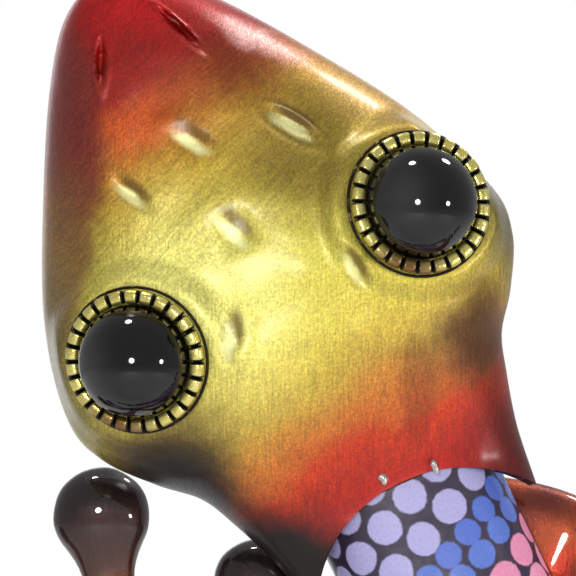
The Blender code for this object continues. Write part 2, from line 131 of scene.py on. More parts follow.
# Each foot: its leg's points, the heading of its wrist, its palm's middle, and each toe's heading and length
FEET = {
    "front_left": ([(19, -43), (11, -54)], 100, (-14.5, -62.5),
                   [(-70, 29), (-38, 35), (-7.1, 37.5), (23.1, 32.1)]),
    "front_right": ([(17, -26), (32, -30)], 314, (60, -52),
                    [(62, 30), (93, 32), (124, 32), (155, 29)]),
    "hind_left": ([(19, -106), (3, -109)], 68, (-28, -122),
                  [(188, 30), (219, 32), (250, 32), (281, 29)]),
    "hind_right": ([(27, -107), (39, -119)], 276, (68, -130),
                   [(8, 30), (39, 32), (70, 32), (101, 29)]),
}

# Hanging ring and spine rod
RING_WIRE = 0.9
RING_HALF_WIDTH = 6.1
RING_SIDE = 4.0
RING_CORNER = 1.8
ROD_RADIUS = 1.5
ROD_DEPTH = 7.2
ROD_INTO_HEAD = -16.0
ROD_INTO_TAIL = 30.0
ROD_ASIDE = 0.5        # the rod's head end, right of the head's middle
ROD_STRAIGHTENS = 4.0  # length along the spine where the rod joins it
ROD_UNDER_TAIL = 0.6   # how much lower the rod lies under the tail

# Eyes
GLASS_RADIUS = 6.0
GLASS_LIFT = 1.1       # height of the glass ball's middle above the seat
BEAD_RING = 6.85
BEADS = 26
BEAD_HALF_WIDTH = 0.74
BEAD_HALF_HEIGHT = 0.72
BEAD_GROOVE = 0.45     # share of the bead's section left in a groove
CUP_RIM_RADIUS = 7.72
CUP_RIM_WIRE = 0.16
CUP_RIM_HEIGHT = 0.35

# Dents punched into the head: u, v, half length, half width, turn in degrees, depth
DENTS = [(-0.7, 17.5, 2.7, 0.95, -58, 0.6), (9.3, 13.9, 3.0, 0.95, -60, 0.6),
         (-9.0, 15.6, 2.3, 0.8, -66, 0.45), (-1.5, 7.1, 2.7, 1.0, -72, 0.6),
         (-7.2, -2.7, 2.5, 1.1, 61, 0.6), (7.7, -2.6, 2.3, 0.8, -88, 0.55)]
NOSTRILS = [(3.9, 28.7, 2.4, 0.4, -72, 1.1), (-5.1, 29.4, 2.2, 0.5, 60, 0.9)]
DENT_EDGE = (0.35, 1.25)       # reach, in oval radii, over which a punch's wall rises
LIP_REACH = 1.5
LIP_WIDTH = 0.3
LIP_SHARE = 0.22               # lip height as a share of the punch's depth

# Solder beads at the neck: place, depth, radius, half length
SOLDER = [((11.2, -20.9), 14.6, 0.5, 0.7), ((16.6, -19.6), 15.0, 0.3, 0.9)]
SOLDER_RUN = (0.9, 0.3)        # plan direction across the beads

# Lamps: name, direction they stand in, distance and width in metres, power in watts
LAMPS = [("lamp_front", (-0.10, -0.99, 0.02), 0.62, 0.11, 1.35),
         ("lamp_side", (0.82, -0.56, -0.02), 0.62, 0.08, 0.9),
         ("lamp_over", (-0.18, -0.03, 0.98), 0.62, 0.10, 1.5),
         ("lamp_over_right", (0.50, 0.38, 0.77), 0.62, 0.10, 1.4),
         ("soft_back", (-0.15, 0.98, 0.12), 1.0, 0.9, 2.4)]
LAMPS_FACE = ((-2, 0), 14)             # plan point and depth the lamps look at
ROOM = (0.40, 0.41, 0.42, 1.0)
WHITE = (1.0, 1.0, 1.0, 1.0)
FLOOR_RADIUS = 1.1
FLOOR_DROP = 0.004                     # metres below the lowest CAD point

# Camera, in metres
CAMERA_AWAY = 0.5
CAMERA_FRAMES = 0.0616                 # width seen at the point it looks at
CAMERA_AT = (-0.01593, -0.005, 0.00136)


def smooth_step(low, high, value):
    t = min(max((value - low) / (high - low), 0.0), 1.0)
    return t * t * (3 - 2 * t)


def smooth_value(knots, at):
    """Cubic value through (position, value) knots, with level ends."""
    if at <= knots[0][0]:
        return knots[0][1]
    if at >= knots[-1][0]:
        return knots[-1][1]
    i = max(k for k in range(len(knots) - 1) if knots[k][0] <= at)

    def slope(k):
        if k in (0, len(knots) - 1):
            return 0.0
        return (knots[k + 1][1] - knots[k - 1][1]) / (knots[k + 1][0] - knots[k - 1][0])

    (x0, y0), (x1, y1) = knots[i], knots[i + 1]
    span = x1 - x0
    t = (at - x0) / span
    return (y0 * (1 + 2 * t) * (1 - t) ** 2 + y1 * t * t * (3 - 2 * t)
            + slope(i) * span * t * (1 - t) ** 2 - slope(i + 1) * span * t * t * (1 - t))


def smooth_curve(points, steps, before=None, after=None):
    """Points of a Catmull-Rom curve through the given plan points."""
    points = [Vector(p) for p in points]
    first = Vector(before) if before else 2 * points[0] - points[1]
    last = Vector(after) if after else 2 * points[-1] - points[-2]
    knots = [first] + points + [last]
    curve = []
    for i in range(1, len(knots) - 2):
        a, b, c, d = knots[i - 1:i + 3]
        for k in range(steps):
            t = k / steps
            curve.append(0.5 * (2 * b + (c - a) * t + (2 * a - 5 * b + 4 * c - d) * t * t
                                + (3 * b - a - 3 * c + d) * t ** 3))
    curve.append(points[-1])
    return curve


class Route:
    """A smooth plan curve that is read by its length from the start."""

    def __init__(self, points):
        self.points = smooth_curve(points, 24)
        self.lengths = [0.0]
        for a, b in zip(self.points, self.points[1:]):
            self.lengths.append(self.lengths[-1] + (b - a).length)

    @property
    def length(self):
        return self.lengths[-1]

    def place(self, distance):
        i = max(k for k in range(len(self.lengths) - 1) if self.lengths[k] <= distance)
        t = (distance - self.lengths[i]) / (self.lengths[i + 1] - self.lengths[i])
        return self.points[i].lerp(self.points[i + 1], t)

    def at(self, distance, reach=1.5):
        """The plan point and the smoothed direction to the route's left at a distance."""
        distance = min(max(distance, 0.0), self.length)
        ahead = self.place(min(distance + reach, self.length))
        along = (ahead - self.place(max(distance - reach, 0.0))).normalized()
        return self.place(distance), Vector((-along.y, along.x))


def place(plan, depth):
    x, z = Vector(plan) - RING_FROM_HEAD
    return Vector((x, RING_DEPTH - depth, z)) * MM


def head_plan(u, v):
    cos, sin = math.cos(HEAD_TILT), math.sin(HEAD_TILT)
    return Vector((u * cos - v * sin, u * sin + v * cos))


def frame_at(plan, depth, right):
    """A frame at a plan point: X along the plan direction right, Z out of the wall."""
    right = Vector(right).normalized()
    up = Vector((-right.y, right.x))
    made = Matrix(((right.x, up.x, 0, 0), (0, 0, -1, 0), (right.y, up.y, 0, 0), (0, 0, 0, 1)))
    made.translation = place(plan, depth)
    return made


def section(fraction):
    """Side and height of a formed section, each from 0 to 1, for -1 to 1 across it."""
    angle = fraction * math.pi / 2
    side = math.copysign(abs(math.sin(angle)) ** (1 / SECTION_POWER), fraction)
    return side, max(math.cos(angle), 0.0)


def rounded(distance, end, radius):
    """From 1 down to 0 along a quarter circle over the last radius before the end."""
    into = (distance - (end - radius)) / radius
    if into <= 0:
        return 1.0
    return math.sqrt(max(1 - into * into, 0.0))


def even(start, end, count):
    return [start + (end - start) * k / count for k in range(count + 1)]


def rounded_stations(start, end, count, radius, turns):
    """Even stations, then closer ones round the end."""
    body = even(start, end - radius, count)
    return body + [end - radius + radius * math.sin(k * math.pi / 2 / turns) for k in range(1, turns + 1)]


def ripple(x, y, z, size, height):
    """Unevenness of hand-beaten sheet, with bumps of about the given size."""
    return height * noise.noise(Vector((x, y, z)) / size)


# ---------------------------------------------------------------- materials

def paint(red, green, blue):
    """Linear colour of a display colour given from 0 to 255."""
    return tuple((c / 255) ** 2.2 for c in (red, green, blue)) + (1.0,)


class Finish:
    """A Principled material being put together; each call adds a node and returns its output."""

    def __init__(self, name, **constants):
        self.material = bpy.data.materials.new(name)
        self.material.use_nodes = True
        self.tree = self.material.node_tree
        self.shader = self.tree.nodes["Principled BSDF"]
        for socket, value in constants.items():
            self.shader.inputs[socket.replace("_", " ")].default_value = value

    def feed(self, socket, value):
        if isinstance(value, bpy.types.NodeSocket):
            self.tree.links.new(value, socket)
        else:
            socket.default_value = value

    def node(self, kind, inputs, output=0, **settings):
        made = self.tree.nodes.new(kind)
        for key, value in settings.items():
            setattr(made, key, value)
        for key, value in inputs.items():
            self.feed(made.inputs[key], value)
        return made.outputs[output]

    def math(self, operation, a, b=0.0, c=0.0):
        return self.node("ShaderNodeMath", {0: a, 1: b, 2: c}, operation=operation)

    def mix(self, factor, a, b, blend="MIX"):
        return self.node("ShaderNodeMix", {0: factor, 6: a, 7: b}, 2, data_type="RGBA", blend_type=blend)

    def own(self):
        """Object coordinates in millimetres."""
        return self.scaled(self.node("ShaderNodeTexCoord", {}, "Object"), 1 / MM)

    def attribute(self, name):
        return self.node("ShaderNodeAttribute", {}, "Vector", attribute_name=name)

    def scaled(self, vector, by):
        return self.node("ShaderNodeVectorMath", {0: vector, 3: by}, operation="SCALE")

    def turned(self, vector, turn, scale):
        """Coordinates turned about Z by degrees and then scaled."""
        spun = self.node("ShaderNodeMapping", {"Vector": vector, "Rotation": (0, 0, math.radians(turn))})
        return self.node("ShaderNodeMapping", {"Vector": spun, "Scale": scale})

    def noise(self, vector, scale, detail=3.0, roughness=0.5, distortion=0.0, output="Fac"):
        return self.node("ShaderNodeTexNoise", {"Vector": vector, "Scale": scale, "Detail": detail,
                                                "Roughness": roughness, "Distortion": distortion}, output)

    def range(self, value, low, high, start=0.0, end=1.0, kind="SMOOTHSTEP"):
        return self.node("ShaderNodeMapRange", {"Value": value, "From Min": low, "From Max": high,
                                                "To Min": start, "To Max": end}, interpolation_type=kind)

    def part(self, vector, axis):
        return self.node("ShaderNodeSeparateXYZ", {0: vector}, axis)

    def ramp(self, value, stops):
        """Colour read from (position, colour) stops over their own span."""
        low, high = stops[0][0], stops[-1][0]
        made = self.tree.nodes.new("ShaderNodeValToRGB")
        self.feed(made.inputs[0], self.range(value, low, high, kind="LINEAR"))
        elements = made.color_ramp.elements
        for k, (at, colour) in enumerate(stops):
            if k < 2:
                element = elements[k]
            else:
                element = elements.new(1.0)
            element.position = (at - low) / (high - low)
            element.color = colour
        return made.outputs[0]

    def spot(self, vector, centre, radii, turn=0.0, plateau=1.0, strength=1.0):
        """A soft oval, from its strength in the middle to nothing at its edge."""
        flat = 1e5
        local = self.node("ShaderNodeMapping", {"Vector": vector, "Location": (*centre, 0),
                                                "Rotation": (0, 0, math.radians(turn)),
                                                "Scale": (*radii, flat)}, vector_type="TEXTURE")
        inside = self.node("ShaderNodeTexGradient", {0: local}, 1, gradient_type="SPHERICAL")
        return self.range(inside, 0.0, plateau, 0.0, strength)

    def wobbled(self, vector, size, reach):
        """Coordinates pushed about by noise, so that sprayed edges wander."""
        cloud = self.noise(vector, 1 / size, 2.0, output="Color")
        centred = self.node("ShaderNodeVectorMath", {0: cloud, 1: (0.5, 0.5, 0.5)}, operation="SUBTRACT")
        push = self.scaled(centred, 2 * reach)
        return self.node("ShaderNodeVectorMath", {0: vector, 1: push}, operation="ADD")

    def bump(self, height, distance, normal=None):
        """Surface relief of the given height in millimetres."""
        inputs = {"Height": height, "Distance": distance * MM}
        if normal:
            inputs["Normal"] = normal
        return self.node("ShaderNodeBump", inputs)

    def done(self, **sockets):
        for socket, value in sockets.items():
            self.feed(self.shader.inputs[socket.replace("_", " ")], value)
        return self.material


def brushed_look(finish, own, turn, streak=(5.0, 0.35), grain=3.2):
    """Light brush lines and fine grain: a streak value, a grain value and their relief."""
    lines = finish.noise(finish.turned(own, turn, (*streak, 1.0)), 1.0, 4.0, 0.65)
    specks = finish.noise(own, grain, 3.0, 0.7)
    relief = finish.bump(specks, 0.035, finish.bump(lines, 0.05))
    return lines, specks, relief


def shaded(finish, colour, value, darkest, brightest):
    """Colour multiplied by a value that runs between two levels."""
    level = finish.range(value, 0.3, 0.7, darkest, brightest, "LINEAR")
    return finish.mix(1.0, colour, level, "MULTIPLY")


# Lacquer sprayed down the head's middle, by v
HEAD_RAMP = [(-32, (112, 20, 14)), (-28, (156, 26, 18)), (-24, (190, 38, 22)), (-20, (222, 66, 26)),
             (-16, (226, 132, 52)), (-12, (216, 178, 70)), (-6, (226, 206, 82)), (2, (220, 208, 86)),
             (10, (204, 184, 68)), (15, (204, 168, 56)), (18.5, (200, 142, 46)), (22, (178, 84, 26)),
             (25, (158, 34, 12)), (31, (176, 12, 8)), (37, (190, 16, 16))]

# Clouds on the head, lacquer tones with painted highlights and painted shade among them: colour, middle,
# radii, turn, plateau, strength
HEAD_CLOUDS_AND_PAINTED_LIGHT = [
    # painted highlight: the front lamp's broad reflection left of the middle
    ((252, 244, 136), (-9, 2), (13, 17), 0, 1.0, 0.9),
    # painted shade: olive where the crown is less lit
    ((132, 106, 32), (9, 11), (11, 12), 0, 0.9, 0.8),
    ((134, 44, 14), (7.5, 21.5), (7, 5), -20, 0.8, 0.75),
    ((214, 86, 16), (-5, 22), (6, 4), 0, 0.9, 0.8),
    # partly lacquer tone, partly painted shade on the snout's steep left side
    ((140, 54, 44), (-12, 24), (17, 4.6), 61, 0.6, 0.9),
    ((150, 106, 62), (-20, 12), (15, 5), 61, 0.7, 0.8),
    # painted shade along the left rim
    ((124, 108, 62), (-25, 4), (7, 19), 0, 0.8, 0.8),
    # painted highlight: pink-white sheen on the snout's upper right shoulder
    ((236, 180, 172), (10.5, 23.3), (7.5, 2.4), -58, 0.9, 0.85),
    ((182, 128, 60), (20, 13), (9, 14), 20, 0.9, 0.7),
    # painted shade along the right rim
    ((92, 80, 42), (27, -3), (10, 15), 0, 0.8, 0.9),
    ((84, 50, 18), (15.5, -15.5), (8, 8), 0, 0.8, 0.9),
    ((92, 18, 8), (14, -27), (6, 9), 0, 0.8, 0.8),
    ((92, 34, 14), (7.8, -16.5), (8, 2.4), 64, 0.6, 0.4),
    ((86, 62, 28), (-20, -12), (11, 9), 0, 0.7, 0.9),
    ((34, 28, 24), (-23, -17), (14, 11), 30, 0.6, 1.0),
    ((30, 19, 16), (-16, -28), (12, 12), 0, 0.6, 1.0),
    ((214, 14, 12), (1, 33), (4, 9), 15, 1.0, 0.7),
]


def head_lacquer():
    """Transparent lacquers sprayed over brushed steel: gold between red at the snout and neck, with painted
    highlights and painted shade in some clouds and at the dents.
    """
    finish = Finish("head_lacquer_finish", Metallic=0.6, Coat_Weight=0.35, Coat_Roughness=0.24)
    own = finish.own()
    drifting_fine = finish.wobbled(own, 1.6, 0.3)
    drifting = finish.wobbled(finish.wobbled(own, 9.0, 2.6), 1.5, 0.8)
    colour = finish.ramp(finish.part(drifting, "Y"), [(at, paint(*tone)) for at, tone in HEAD_RAMP])
    # lacquer clouds, some of them painted highlights and painted shade
    for tone, middle, radii, turn, plateau, strength in HEAD_CLOUDS_AND_PAINTED_LIGHT:
        cloud = finish.spot(drifting, middle, radii, turn, plateau, strength)
        colour = finish.mix(cloud, colour, paint(*tone))
    lines, specks, relief = brushed_look(finish, own, 29)
    uneven = finish.wobbled(own, 5.0, 0.6)
    slanting = finish.noise(finish.turned(uneven, 72, (4.2, 0.3, 1.0)), 1.0, 5.0, 0.7)
    upper = finish.range(finish.part(own, "Y"), 0.0, 9.0, 0.0, 1.0)
    strokes = finish.mix(upper, lines, slanting)
    colour = shaded(finish, colour, strokes, 0.64, 1.14)
    colour = shaded(finish, colour, specks, 0.66, 1.22)
    sand = finish.noise(own, 7.0, 2.0, 0.8)
    colour = shaded(finish, colour, sand, 0.74, 1.16)
    scuffs = finish.noise(finish.turned(own, 66, (2.6, 0.5, 1.0)), 1.0, 6.0, 0.75)
    patches = finish.range(scuffs, 0.60, 0.72, 0.0, 0.55)
    shade = finish.spot(own, (5, 12), (17, 15), 0, 0.7, 1.0)
    colour = finish.mix(finish.math("MULTIPLY", patches, shade), colour, paint(58, 46, 22))
    # painted shadow on each dent's upper side and painted highlight on its lower side
    for middle_u, middle_v, half_length, half_width, turn, _ in DENTS:
        above = (middle_u + 0.9 * half_width, middle_v + 0.5 * half_width)
        dent_painted_shadow = finish.spot(drifting_fine, above, (1.3 * half_length, 1.2 * half_width), turn, 0.7, 0.75)
        colour = finish.mix(dent_painted_shadow, colour, paint(92, 66, 20))
        below = (middle_u - 0.3 * half_width, middle_v - 0.3 * half_width)
        inside = finish.spot(drifting_fine, below, (1.15 * half_length, 1.0 * half_width), turn, 0.8, 0.95)
        colour = finish.mix(inside, colour, paint(255, 250, 176))
    rim = finish.range(finish.part(own, "Z"), 0.3, 1.8, 0.8, 0.0)
    colour = finish.mix(rim, colour, paint(40, 20, 16))
    rough = finish.range(lines, 0.3, 0.7, 0.38, 0.54)
    return finish.done(Base_Color=colour, Roughness=rough, Normal=relief)


def body_lacquer():
    """Red-brown lacquer over brushed steel, with copper showing through in clouds."""
    finish = Finish("body_lacquer_finish", Metallic=0.7, Coat_Weight=1.0, Coat_Roughness=0.06)
    own = finish.own()
    cloud = finish.range(finish.noise(finish.wobbled(own, 12, 3), 0.07, 3.0), 0.35, 0.68)
    colour = finish.mix(cloud, paint(96, 26, 14), paint(170, 72, 26))
    ember = finish.range(finish.noise(own, 0.13, 2.0), 0.55, 0.75)
    colour = finish.mix(ember, colour, paint(196, 40, 22))
    lines, specks, relief = brushed_look(finish, own, 0)
    colour = shaded(finish, colour, lines, 0.8, 1.1)
    colour = shaded(finish, colour, specks, 0.88, 1.1)
    return finish.done(Base_Color=colour, Roughness=finish.range(lines, 0.3, 0.7, 0.26, 0.4), Normal=relief)


def foot_lacquer():
    """Dark plum lacquer on the pads that runs out to copper along the toes' stems."""
    finish = Finish("foot_lacquer_finish", Metallic=0.72, Coat_Weight=1.0, Coat_Roughness=0.04)
    own = finish.own()
    along = finish.part(finish.wobbled(own, 4.0, 0.8), "Y")
    colour = finish.ramp(along, [(-14, paint(116, 66, 40)), (-8.5, paint(122, 70, 42)),
                                 (-5.5, paint(78, 42, 28)), (-2, paint(58, 31, 27)),
                                 (3, paint(36, 24, 25)), (6, paint(31, 22, 23))])
    lines, specks, relief = brushed_look(finish, own, 10, grain=2.4)
    colour = shaded(finish, colour, lines, 0.75, 1.2)
    colour = shaded(finish, colour, specks, 0.85, 1.15)
    return finish.done(Base_Color=colour, Roughness=finish.range(specks, 0.3, 0.7, 0.3, 0.46), Normal=relief)


def black_glass():
    """Near-black glass with a faint grey painted reflection and fine dust."""
    finish = Finish("black_glass_finish", IOR=1.5)
    own = finish.own()
    out = finish.node("ShaderNodeVectorMath", {0: own}, 1, operation="LENGTH")
    # painted reflection: a faint grey haze off to one side of the dome
    painted_reflection = finish.math("MULTIPLY", finish.noise(finish.wobbled(own, 3, 1), 0.25, 2.0), 0.5)
    reflection_spot = finish.spot(own, (-3.6, 0.4), (4.2, 5.4))
    painted_reflection = finish.math("MULTIPLY", reflection_spot, painted_reflection)
    colour = finish.mix(painted_reflection, paint(14, 13, 15), paint(84, 84, 80))
    dust = finish.range(finish.noise(own, 1.6, 5.0, 0.8), 0.62, 0.8, 0.0, 0.12)
    colour = finish.mix(dust, colour, paint(130, 128, 120))
    rough = finish.range(out, 0.0, 8.0, 0.03, 0.06)
    return finish.done(Base_Color=colour, Roughness=rough)


def beaded_gold():
    """Gold beads with tarnish in their grooves and red-brown towards the lower side."""
    finish = Finish("beaded_gold_finish", Metallic=0.85, Coat_Weight=0.3, Coat_Roughness=0.1)
    own = finish.own()
    turn = finish.node("ShaderNodeTexGradient", {0: own}, 1, gradient_type="RADIAL")
    step = finish.math("PINGPONG", finish.math("MULTIPLY", turn, BEADS), 0.5)
    groove = finish.range(step, 0.12, 0.22, 1.0, 0.0)
    colour = finish.mix(finish.noise(own, 0.9, 2.0), paint(206, 184, 60), paint(250, 240, 160))
    # red-brown towards the ring's lower side
    lower_red_brown = finish.spot(own, (-1.5, -8.5), (9.0, 5.0), -29, 0.8, 0.9)
    colour = finish.mix(lower_red_brown, colour, paint(104, 52, 34))
    colour = finish.mix(groove, colour, paint(22, 16, 10))
    specks = finish.noise(own, 4.0, 3.0, 0.7)
    colour = shaded(finish, colour, specks, 0.8, 1.15)
    rough = finish.range(groove, 0.0, 1.0, 0.26, 0.7)
    return finish.done(Base_Color=colour, Roughness=rough, Normal=finish.bump(specks, 0.03))


# Columns of painted dots: place across the columns, first dot along them, pitch, radius, colour
DOT_TURN = 39.0
DOT_REPEAT = 25.1
DOTS = [(21.4, 11.0, 4.3, 1.75, (176, 168, 216)), (25.3, 8.9, 4.35, 1.85, (178, 172, 222)),
        (29.2, 7.0, 4.55, 1.85, (176, 170, 220)), (32.4, 4.8, 3.2, 1.45, (84, 112, 204)),
        (35.1, 2.2, 3.3, 1.5, (90, 118, 206)), (38.8, 5.0, 4.1, 1.85, (232, 142, 178)),
        (42.6, 5.9, 4.1, 1.9, (238, 152, 186))]


def dotted_enamel():
    """Satin enamel: columns of lavender, blue and pink dots on a black-violet ground."""
    finish = Finish("dotted_enamel_finish", Coat_Weight=0.35, Coat_Roughness=0.18)
    plan = finish.attribute("flat_plan")
    fuzzy = finish.wobbled(finish.wobbled(plan, 6.0, 0.35), 0.5, 0.14)
    turned = finish.turned(fuzzy, DOT_TURN, (1, 1, 1))
    across, along = finish.part(turned, "X"), finish.math("MULTIPLY", finish.part(turned, "Y"), -1.0)
    ground = finish.mix(finish.noise(plan, 1.2, 4.0, 0.7), paint(24, 14, 34), paint(58, 40, 74))
    colour = ground
    for middle, first, pitch, radius, tone in DOTS:
        near = finish.math("WRAP", finish.math("SUBTRACT", across, middle), DOT_REPEAT / 2, -DOT_REPEAT / 2)
        step = finish.math("WRAP", finish.math("SUBTRACT", along, first), pitch / 2, -pitch / 2)
        reach = finish.math("SQRT", finish.math("ADD", finish.math("MULTIPLY", near, near),
                                                finish.math("MULTIPLY", step, step)))
        inside = finish.range(reach, radius - 0.16, radius + 0.12, 1.0, 0.0)
        colour = finish.mix(inside, colour, paint(*tone))
    specks = finish.noise(plan, 2.6, 5.0, 0.75)
    colour = shaded(finish, colour, specks, 0.82, 1.1)
    flecks = finish.range(finish.noise(plan, 3.4, 3.0, 0.6), 0.66, 0.74, 0.0, 0.6)
    colour = finish.mix(flecks, colour, paint(44, 30, 60))
    own = finish.own()
    rough = finish.range(finish.noise(own, 0.8, 3.0), 0.3, 0.7, 0.4, 0.55)
    return finish.done(Base_Color=colour, Roughness=rough, Normal=finish.bump(specks, 0.03))


def cut_edge():
    """The cut edge of a lacquered sheet: dark, with bright patches painted as glints."""
    finish = Finish("cut_edge_finish", Metallic=0.6)
    # painted highlight: bright glint patches on the dark edge
    patches = finish.range(finish.noise(finish.own(), 0.6, 4.0, 0.7), 0.56, 0.66)
    colour = finish.mix(patches, paint(34, 20, 16), paint(150, 128, 108))
    return finish.done(Base_Color=colour, Roughness=finish.range(patches, 0, 1, 0.55, 0.3))


def bare_steel():
    """Mild steel with brush lines, grey mottling, heat tint and a little rust."""
    finish = Finish("bare_steel_finish", Metallic=1.0)
    own = finish.own()
    colour = finish.mix(finish.noise(own, 0.35, 4.0), paint(120, 120, 122), paint(190, 188, 184))
    heat = finish.range(finish.noise(own, 0.11, 2.0), 0.54, 0.7)
    colour = finish.mix(heat, colour, finish.ramp(heat, [(0, paint(150, 110, 60)), (0.6, paint(110, 70, 90)),
                                                         (1.0, paint(70, 80, 120))]))
    rust = finish.range(finish.noise(own, 0.5, 6.0, 0.7), 0.6, 0.72)
    colour = finish.mix(rust, colour, paint(110, 62, 34))
    lines, specks, relief = brushed_look(finish, own, 0)
    colour = shaded(finish, colour, lines, 0.85, 1.1)
    rough = finish.math("ADD", finish.range(specks, 0.3, 0.7, 0.26, 0.42), finish.math("MULTIPLY", rust, 0.3))
    return finish.done(Base_Color=colour, Roughness=rough, Normal=relief)


def back_primer():
    """The shells' unpainted back: grey steel dulled by overspray."""
    finish = Finish("back_primer_finish", Metallic=0.75)
    own = finish.own()
    cloud = finish.range(finish.noise(finish.wobbled(own, 8, 3), 0.08, 3.0), 0.4, 0.68)
    colour = finish.mix(cloud, paint(128, 124, 118), paint(120, 92, 66))
    rust = finish.range(finish.noise(own, 0.4, 6.0, 0.7), 0.6, 0.74)
    colour = finish.mix(rust, colour, paint(116, 66, 38))
    lines, specks, relief = brushed_look(finish, own, 30)
    colour = shaded(finish, colour, lines, 0.84, 1.1)
    return finish.done(Base_Color=colour, Roughness=finish.range(specks, 0.3, 0.7, 0.38, 0.58), Normal=relief)


def tin_solder():
    """Bright solder with a grey skin."""
    finish = Finish("solder_finish", Metallic=0.9, Coat_Weight=0.3)
    tone = finish.noise(finish.own(), 1.5, 3.0)
    colour = finish.mix(tone, paint(130, 116, 110), paint(225, 218, 214))
    return finish.done(Base_Color=colour, Roughness=finish.range(tone, 0.3, 0.7, 0.2, 0.4))


# ---------------------------------------------------------------- pieces

def stand_in(made, finishes, slot, *nodes, body=BODY):
    """Links a new piece, gives it its finishes and hides the CAD nodes it stands for."""
    for finish in finishes:
        made.data.materials.append(finish)
    bpy.context.scene.collection.objects.link(made)
    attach(made, body)
    if nodes:
        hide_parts(*nodes)


def mesh_piece(name, bm, finishes, slot, *nodes, world=None, body=BODY, sharp=40):
    mesh = bpy.data.meshes.new(name)
    bm.to_mesh(mesh)
    bm.free()
    mesh.shade_smooth()
    mesh.set_sharp_from_angle(angle=math.radians(sharp))
    made = bpy.data.objects.new(name, mesh)
    if world:
        made.matrix_world = world
    stand_in(made, finishes, slot, *nodes, body=body)


def formed_sheet(name, rows, finishes, slot, thickness=SHEET, world=None, flat=None):
    """A formed sheet given by its front surface: finishes are for its front, cut edge and back."""
    bm = bmesh.new()
    layer = bm.verts.layers.float_vector.new("flat_plan")
    grid = [[bm.verts.new(point) for point in row] for row in rows]
    if flat:
        for verts, plans in zip(grid, flat):
            for vert, plan in zip(verts, plans):
                vert[layer] = (*plan, 0)
    for near, far in zip(grid, grid[1:]):
        for i in range(len(near) - 1):
            bm.faces.new((near[i], near[i + 1], far[i + 1], far[i]))
    bmesh.ops.remove_doubles(bm, verts=bm.verts, dist=1e-6)
    bmesh.ops.dissolve_degenerate(bm, edges=bm.edges, dist=1e-6)
    bm.normal_update()
    outward = Vector((0, 0, 1)) if world else Vector((0, -1, 0))
    if sum(face.normal.dot(outward) * face.calc_area() for face in bm.faces) < 0:
        bmesh.ops.reverse_faces(bm, faces=bm.faces)
    mesh = bpy.data.meshes.new(name)
    bm.to_mesh(mesh)
    bm.free()
    made = bpy.data.objects.new(name, mesh)
    if world:
        made.matrix_world = world
    stand_in(made, finishes, slot, name)
    thicken = made.modifiers.new("sheet", 'SOLIDIFY')
    thicken.thickness = thickness * MM
    thicken.offset = -1.0
    thicken.material_offset_rim = 1
    thicken.material_offset = 2
    graph = bpy.context.evaluated_depsgraph_get()
    seen = made.evaluated_get(graph)
    thick = bpy.data.meshes.new_from_object(seen, preserve_all_data_layers=True, depsgraph=graph)
    made.modifiers.clear()
    made.data = thick
    made.data.shade_smooth()
    made.data.set_sharp_from_angle(angle=math.radians(50))


def head_half_outline(steps):
    mirrored = (-HEAD_HALF_OUTLINE[1][0], HEAD_HALF_OUTLINE[1][1])
    return smooth_curve(HEAD_HALF_OUTLINE, steps, before=mirrored)


def head_lean(v):
    return HEAD_LEAN * smooth_step(*HEAD_LEAN_SPAN, v)


def with_eye_seats(u, v, height, side):
    """The head's height with a flat seat pressed under each eye."""
    for eye in (EYE_SHIFT - EYE_U, EYE_SHIFT + EYE_U):
        seat = EYE_HEIGHT - (u - eye) * math.copysign(math.tan(EYE_TILT), eye)
        reach = math.hypot(u - eye, v)
        weight = 1 - smooth_step(EYE_SEAT, EYE_SEAT + EYE_SEAT_FADE, reach)
        weight *= 1 - smooth_step(EYE_SEAT_REACH, 1.0, abs(side))
        height += weight * (seat - height)
    return height


def dented(u, v, dents):
    """Depth pressed into the sheet at a point, with the lip that each punch raises round it."""
    pressed = 0.0
    for middle_u, middle_v, half_length, half_width, turn, depth in dents:
        cos, sin = math.cos(math.radians(turn)), math.sin(math.radians(turn))
        along = ((u - middle_u) * cos + (v - middle_v) * sin) / half_length
        across = ((v - middle_v) * cos - (u - middle_u) * sin) / half_width
        reach = math.hypot(along, across)
        if reach < 2 * LIP_REACH:
            pressed += depth * (1 - smooth_step(*DENT_EDGE, reach))
            pressed -= LIP_SHARE * depth * math.exp(-((reach - LIP_REACH) / LIP_WIDTH) ** 2)
    return pressed


def head_piece(finishes):
    across = 176
    rows = []
    for half_width, v in head_half_outline(18):
        nose = 1 - min(half_width / NOSE_RADIUS, 1.0)
        crown = smooth_value(HEAD_CROWN, v) * math.sqrt(max(1 - nose ** NOSE_POWER, 0.0))
        neck = 1 - smooth_step(HEAD_HALF_OUTLINE[-1][1], NECK_TOP, v)
        row = []
        for k in range(across + 1):
            side, height = section(2 * k / across - 1)
            u = side * half_width
            bulge = neck * (math.sqrt(NECK_ARC ** 2 - (side * NECK_HALF) ** 2) - NECK_SAG)
            lift = with_eye_seats(u, v, height * crown, side)
            at_u, at_v = u + head_lean(v), v + bulge
            inner = 1 - smooth_step(BEATEN_EDGE, 1.0, abs(side))
            lift -= inner * dented(at_u, at_v, DENTS + NOSTRILS)
            lift += inner * sum(ripple(at_u, at_v, seed, size, rise) for seed, size, rise in BEATEN)
            row.append(Vector((at_u, at_v, lift)) * MM)
        rows.append(row)
    world = frame_at((0, 0), HEAD_RIM, head_plan(1, 0))
    formed_sheet("head_shell", rows, finishes, "head_lacquer", world=world)


